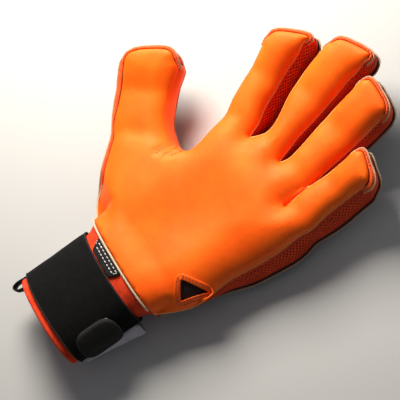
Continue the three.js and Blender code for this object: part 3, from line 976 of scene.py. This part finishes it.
for i0, i1 in runs_of(seam_kind == TIP):
    i0, i1 = max(i0 - 4, 8), i1 + 4
    run = np.arange(i0, i1 + 1)
    out = np.c_[seam_out[run], np.zeros(len(run))]
    up = np.tile(UP, (len(run), 1))
    section = [(0.22 * SHELF, 0, -0.6), (0.24 * SHELF, 0, 0.5), (0.6 * SHELF, 0, 0.95), (SHELF, 0.1, 0.7),
               (1.25 * SHELF, 0.55, 0.0), (2.0 * SHELF, 0.5, -0.3), (2.0 * SHELF, -0.3, -0.6)]
    band = np.stack([raised(run, *q) for q in section], 1)
    edges.add(band.reshape(-1, 3), grid_faces(len(run), len(section)), 2)
    # A thin near-black cord along the strip's seam: painted shade of the groove.
    groove = raised(run, 0.02, 0, -0.2)
    edges.add(*sweep(groove, out, up, ring_section(0.35, 5)), 3)
    fray = raised(run, 1.2 * SHELF, 0.75, 0.25)
    edges.add(*sweep(fray + out * 0.25 * value_noise(fray, 1.0, 8)[:, None], out, up, FRAYED), 1)
    merge(threads, stitches(raised(run, 0.7 * SHELF, 0, 0.95), up, 2.6, 1.7, 0.27), 1)
emit("seam_edges", edges, [CUT_EDGE, FRAY, BINDING, PAINTED_SHADE], weld=False)
for line in WEB_SEAMS:
    row = resample(line, 0.7)
    row = np.c_[row, front_height(row, distance(row, seam)) + 0.1]
    merge(threads, stitches(row, np.tile(UP, (len(row), 1)), 2.4, 1.6, 0.3), 0)
emit("seam_stitches", threads, [RED_THREAD, ORANGE_THREAD], weld=False)


# ---- Window in the heel ----
def grown(loop, amount):
    """A closed loop of plan points moved outward by an amount."""
    out = normals_2d(np.vstack([loop[-1:], loop, loop[:1]]))[1:-1]
    centre = loop.mean(0)
    sign = np.sign(((loop - centre) * out).sum())
    return loop + out * sign * amount


def on_palm(loop, lift):
    return np.c_[loop, front_height(loop, distance(loop, seam)) + lift]


window = Build()
FRAME_SECTION = [(-0.3, -1.2), (-0.2, 0.5), (0.3, 0.8), (1.6, 0.55), (3.4, 0.8), (3.9, 0.4), (4.0, -0.3)]
bands = [on_palm(grown(vent, out), up) for out, up in FRAME_SECTION]
window.add(np.stack(bands, 1).reshape(-1, 3), grid_faces(len(vent), len(bands), True), 0)
vent_up = np.tile(UP, (len(vent) + 1, 1))
for g in (1.0, 2.5):
    loop = on_palm(grown(vent, g), 0.7)
    merge(window, stitches(np.vstack([loop, loop[:1]]), vent_up, 2.5, 1.7, 0.28), 1)
lo, hi = VENT.min(0) - 2, VENT.max(0) + 2
cell = 1.25
nx, ny = int((hi[0] - lo[0]) / cell), int((hi[1] - lo[1]) / cell)
for a in range(nx):
    for b in range(ny):
        c = lo + (np.array([a, b]) + 0.5 + [0.5 * (b % 2), 0]) * cell
        if not inside(c[None], grown(vent, 0.8))[0]:
            continue
        angle = np.arange(6) * math.pi / 3
        hexagon = np.c_[np.cos(angle + math.pi / 6), np.sin(angle + math.pi / 6)]
        outer, eye = c + cell * 0.56 * hexagon, c + cell * 0.28 * hexagon
        window.add(np.vstack([on_palm(outer, -1.9), on_palm(eye, -2.1)]), grid_faces(2, 6, False, True), 2)
# A near-black sheet under the mesh: painted shade in the window's pit.
pit_shade_loop = on_palm(grown(vent, 1.0), -3.0)
window.add(pit_shade_loop, [tuple(range(len(vent)))], 3)
emit("heel_window", window, [LATEX, RED_THREAD, DARK_MESH, PAINTED_SHADE], weld=False)


# ---- Cuff and wrap ----
def cuff_point(angle, f, grow):
    """A point near the cuff: angle in degrees from the little-finger side up over the palm side, f mm towards
    the forearm and grow mm out of its surface."""
    angle, f, grow = np.broadcast_arrays(np.radians(angle), np.asarray(f, float), np.asarray(grow, float))
    flare = 1 - ramp(-2, 12, f)
    half = CUFF_HALF_WIDTH + 4.2 * flare + grow
    high = CUFF_HALF_HEIGHT + grow
    power = 2 / (2.1 + 0.7 * flare)
    x = half * np.sign(np.cos(angle)) * np.abs(np.cos(angle)) ** power
    z = high * np.sign(np.sin(angle)) * np.abs(np.sin(angle)) ** power
    xy = CUFF_AT + x[..., None] * CUFF_X + f[..., None] * CUFF_F
    return np.concatenate([xy, CUFF_HEIGHT + z[..., None]], -1)


def round_cuff(profile, segments, wave, seed=1):
    """A closed profile of (f, grow) points drawn round the cuff, made uneven by up to wave mm."""
    profile = np.asarray(profile, float)
    angle = np.arange(segments) * 360 / segments
    aa, kk = np.meshgrid(angle, np.arange(len(profile)), indexing="ij")
    f, grow = profile[kk, 0], profile[kk, 1]
    n = value_noise(cuff_point(aa, f, grow).reshape(-1, 3), 11, seed).reshape(aa.shape)
    p = cuff_point(aa, f, grow + wave * n)
    return p.reshape(-1, 3), grid_faces(segments, len(profile), True, True, True)


def box_profile(f0, f1, low, high, r=0.8, steps=10):
    """A rounded strip seen end on."""
    top = [(f, high) for f in np.linspace(f0 + r, f1 - r, steps)]
    under = [(f, low) for f in np.linspace(f1 - r, f0 + r, steps)]
    return [(f0, (low + high) / 2), (f0 + 0.3 * r, high - 0.3 * r), *top, (f1 - 0.3 * r, high - 0.3 * r),
            (f1, (low + high) / 2), *under]


cuff = Build()
cuff.add(*round_cuff(box_profile(-2.0, CUFF_END, -2.5, 0.0, 1.0, 30), 120, wave=0.25))
cuff.add(*round_cuff(box_profile(CUFF_END - 3.2, CUFF_END + 0.4, -2.9, 0.5, 1.2, 4), 120, wave=0.15))
cuff_obj = emit("cuff", cuff, [CUFF])[0]

wrap = Build()
f0, f1 = WRAP
wrap.add(*round_cuff(box_profile(f0, f1, 0.35, 2.6, 1.0, 34), 140, wave=0.3, seed=2))
for a, b in ((f0 + 0.1, f0 + 1.1), (f1 - 1.1, f1 - 0.1)):
    wrap.add(*round_cuff(box_profile(a, b, 2.2, 2.85, 0.3, 3), 140, wave=0.3, seed=2), 1)
wrap_obj = emit("wrist_wrap", wrap, [ELASTIC, HEM])[0]


# ---- Flat pieces laid round the cuff ----
def laid(loop, low, high, edge=0.7, dome=0.0, lift=lambda angle, f: 0 * f):
    """A slab cut to a loop of (angle, f) and laid on the cuff, between two distances from its surface."""
    scale = math.radians(1) * (CUFF_HALF_WIDTH + CUFF_HALF_HEIGHT) / 2
    flat = loop * [scale, 1]
    if ((flat - flat.mean(0)) * normals_2d(np.vstack([flat[-1:], flat, flat[:1]]))[1:-1]).sum() < 0:
        flat = flat[::-1]
    verts, faces, _ = fill(flat, np.vstack([flat, flat[:1]]), rings=(0.25, edge, 2 * edge, 4 * edge))
    d = distance(verts, flat, True)
    top = high - (high - low) * 0.5 * quarter(d, edge * 1.4) + dome * (1 - quarter(d, 8))
    angle, f = verts[:, 0] / scale, verts[:, 1]
    up = cuff_point(angle, f, top + lift(angle, f))
    down = cuff_point(angle, f, low + lift(angle, f))
    n = len(flat)
    top_faces = [tuple(t) for t in faces]
    under_faces = [tuple(i + len(verts) for i in reversed(t)) for t in faces]
    walls = [(i, (i + 1) % n, (i + 1) % n + len(verts), i + len(verts)) for i in range(n)]
    return Build().add(np.vstack([up, down]), top_faces + under_faces + walls)


def rounded(a0, a1, f0, f1, r_angle, r_f, power=2.6):
    """A rectangle with rounded corners, as a loop of (angle, f)."""
    t = np.linspace(0, 2 * math.pi, 120, endpoint=False)
    c, s = np.cos(t), np.sin(t)
    ea, ef = (a1 - a0) / 2 - r_angle, (f1 - f0) / 2 - r_f
    a = (a0 + a1) / 2 + np.sign(c) * (ea + r_angle * np.abs(c) ** (2 / power))
    f = (f0 + f1) / 2 + np.sign(s) * (ef + r_f * np.abs(s) ** (2 / power))
    return relax(resample(np.c_[np.r_[a, a[:1]], np.r_[f, f[:1]]], 1.2)[:-1], 2, True)


def row_on_cuff(loop, grow, pitch=2.8, length=1.9, radius=0.3):
    """Stitches along a line of (angle, f)."""
    loop = resample(loop, 0.8)
    p = cuff_point(loop[:, 0], loop[:, 1], grow)
    up = unit(cuff_point(loop[:, 0], loop[:, 1], grow + 1.0) - p)
    return stitches(p, up, pitch, length, radius)


def loose_fold(angle, f):
    """The strap stands off the wrap beside the tab, most of all at the palm's end."""
    along = np.clip((STRAP[1] - f) / (STRAP[1] - STRAP[0]), 0, 1)
    return 7.0 * along * np.exp(-(((angle + 15) / 9) ** 2))


strap = Build()
merge(strap, laid(rounded(-168, -1.0, *STRAP, 6, 5), 3.0, 4.9, edge=0.8, lift=loose_fold), 0)
strap_obj = emit("closure_strap", strap, [GREY], weld=False)[0]
patch = laid(rounded(8, 45, TAB[0] + 3, TAB[1] - 3, 6, 5), 2.7, 3.4, edge=0.4)
patch_obj = emit("loop_patch", patch, [GREY], weld=False)[0]

insert = Build()
merge(insert, laid(rounded(*INSERT, 3, 1.2), 0.3, 1.9, edge=0.5), 0)
a0, a1, f0, _ = INSERT
for f in (f0 + 1.5, f0 + 4.4):
    merge(insert, row_on_cuff(np.array([(a0 + 2.5, f), (a1 - 2.5, f)]), 2.0, 3.0, 2.1, 0.42), 1)
for a in (a0 + 2.8, a1 - 2.8):
    merge(insert, row_on_cuff(np.array([(a, f0 + 1), (a, f0 + 5)]), 2.0, 1.7, 1.2, 0.3), 1)
insert_obj = emit("elastic_insert", insert, [WEBBING, WHITE], weld=False)[0]

tab_loop = rounded(1.0, 49, TAB[0], TAB[1], 21, 11, 2.4)
tab = Build()
merge(tab, laid(tab_loop, 5.2, 7.0, edge=0.9, dome=0.5), 0)
inner_loop = rounded(5.0, 45, TAB[0] + 3, TAB[1] - 3, 17, 8.5, 2.4)
merge(tab, row_on_cuff(np.vstack([inner_loop, inner_loop[:1]]), 7.3, 2.6, 1.7, 0.2), 0)
merge(tab, laid(rounded(9, 44, TAB[0] + 4, TAB[1] - 4, 6, 5), 3.8, 5.1, edge=0.4), 1)
verts, faces, ids = tab.arrays()
tab_obj = make_object("closure_tab_soft", verts, faces, [TAB_FACE, GREY], ids)
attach(tab_obj, "closure_tab")

# Cream piping along the palm's wrist edge and a little way up the thumb's side.
climb = seam_front[:17][::-1] + np.c_[seam_out[:17][::-1] * 0.9, np.full(17, 0.2)]
edge_line = wrist_front[::-1].copy()
edge_line[:, :2] += CUFF_F * 1.2
edge_line[:, 2] -= 0.2
piping_line = relax(resample(np.vstack([climb[:-1], edge_line[1:-1]]), 1.4), 4)
t = unit(np.gradient(piping_line, axis=0))
side = unit(np.cross(t, np.tile(UP, (len(t), 1))))
piping = Build().add(*sweep(piping_line, side, np.cross(side, t), ring_section(0.8, 8, 0.8)))
piping_obj = emit("wrist_piping_soft", piping, [CREAM], weld=False)[0]

# The pull loop: webbing folded over the cuff's forearm edge.
LOOP = [(-31.3, 63.5), (-31.3, 68.5), (-31.0, 73), (-32.4, 77.4), (-34.2, 78.6), (-36.2, 77.4),
        (-37.0, 73), (-36.7, 69), (-36.7, 66.4)]
WEBBING_SECTION = [(-0.5, -3.4), (0.5, -3.4), (0.62, 0), (0.5, 3.4), (-0.5, 3.4), (-0.62, 0)]
curve = spline(LOOP, 0.8)
centre = np.c_[CUFF_AT + curve[:, :1] * CUFF_X + curve[:, 1:] * CUFF_F, np.full(len(curve), CUFF_HEIGHT)]
t = unit(np.gradient(centre, axis=0))
side = unit(np.cross(t, np.tile(UP, (len(t), 1))))
pull = Build().add(*sweep(centre, side, np.tile(UP, (len(t), 1)), WEBBING_SECTION))
pull_obj = emit("pull_loop_soft", pull, [WEBBING], weld=False)[0]


# ---- The CAD parts that the soft pieces stand for, hidden ----
def named(start):
    return [n for n in frame["nodes"] if n.startswith(start)]


for n, digit in enumerate(DIGITS):
    name = digit.name
    for part, zone in (("lower", 1 + 2 * n), ("upper", 2 + 2 * n)):
        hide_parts(f"{name}_{part}_latex", *named(f"{name}_{part}_roll"))
        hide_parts(f"{name}_{part}_back")
        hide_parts(*named(f"{name}_{part}_gusset"))
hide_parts("palm_latex", "thumb_web_roll", "palm_lining")
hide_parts("palm_backhand", "back_lining")
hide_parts("thumb_edge_wall", "heel_gusset", *named("crotch_gusset"))
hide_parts("vent_mesh", "vent_frame")
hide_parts("cuff_front", "cuff_back")
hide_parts("wrist_wrap_front", "wrist_wrap_back")
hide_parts("closure_strap")
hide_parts("loop_patch")
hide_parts("elastic_insert")
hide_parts("closure_tab", "hook_patch")
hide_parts("wrist_piping")
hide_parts("pull_loop")


def declare_strips():
    """Works out the middle of each step along the palm's seam and its zone, and does nothing more with them.
    """
    between = (seam_front[1:] + seam_front[:-1]) / 2
    zones = zone_of(between[:, :2])


declare_strips()
declare_strips()


# ---- Studio ----
def area_light(name, at, target, size, power, color=(1, 1, 1)):
    data = bpy.data.lights.new(name, "AREA")
    data.size, data.energy, data.color = size, power, color
    lamp = bpy.data.objects.new(name, data)
    bpy.context.scene.collection.objects.link(lamp)
    lamp.location = at
    lamp.rotation_mode = "QUATERNION"
    lamp.rotation_quaternion = (Vector(target) - Vector(at)).to_track_quat("-Z", "Y")


FLOOR = -0.0004
floor_mesh = bpy.data.meshes.new("floor")
floor_mesh.from_pydata([(-3, -3, FLOOR), (3, -3, FLOOR), (3, 3, FLOOR), (-3, 3, FLOOR)], [], [(0, 1, 2, 3)])
floor = bpy.data.objects.new("floor", floor_mesh)
bpy.context.scene.collection.objects.link(floor)
floor_mesh.materials.append(Shader("pale_floor", (0.46, 0.455, 0.45), 0.8).material)

bpy.context.scene.view_settings.view_transform = "Standard"
world = bpy.data.worlds.new("studio")
bpy.context.scene.world = world
world.use_nodes = True
world.node_tree.nodes["Background"].inputs["Color"].default_value = (0.9, 0.93, 1, 1)
world.node_tree.nodes["Background"].inputs["Strength"].default_value = 0.15

azimuth, elevation, roll = math.radians(103), math.radians(68), math.radians(45)
level = math.cos(elevation)
toward = np.array([math.sin(azimuth) * level, -math.cos(azimuth) * level, math.sin(elevation)])
along = unit(np.array([0, 1.0, 0]) - toward[1] * toward)
across = np.cross(along, toward)
right = math.cos(roll) * along + math.sin(roll) * across
upward = math.sin(roll) * along - math.cos(roll) * across
target = np.array([0, 0, 40.0]) + 56 * right + 46.9 * upward + np.r_[SHIFT, 0]
DISTANCE = 1500.0
FIELD = 280  # mm that the picture shows
SENSOR = 36
camera_data = bpy.data.cameras.new("camera")
camera_data.lens = SENSOR * DISTANCE / FIELD
camera_data.clip_end = 20
camera = bpy.data.objects.new("camera", camera_data)
bpy.context.scene.collection.objects.link(camera)
camera_at = (target + toward * DISTANCE) * 0.001
turn = np.stack([right, upward, toward], 1)
camera.matrix_world = Matrix([[*row, at] for row, at in zip(turn, camera_at)] + [[0, 0, 0, 1]])
bpy.context.scene.camera = camera
middle_of = target * 0.001


def from_view(r, u, b):
    """A place in metres, from millimetres right of the picture's middle, above it and towards the camera."""
    return tuple((target + r * right + u * upward + b * toward) * 0.001)


area_light("key", from_view(-190, 480, 225), middle_of, 0.28, 8.6, (1, 0.95, 0.86))
area_light("fill", from_view(-300, 300, 1300), middle_of, 1.2, 0.6, (1, 0.98, 0.95))
area_light("rim", from_view(500, 800, 250), middle_of, 0.6, 1.5)
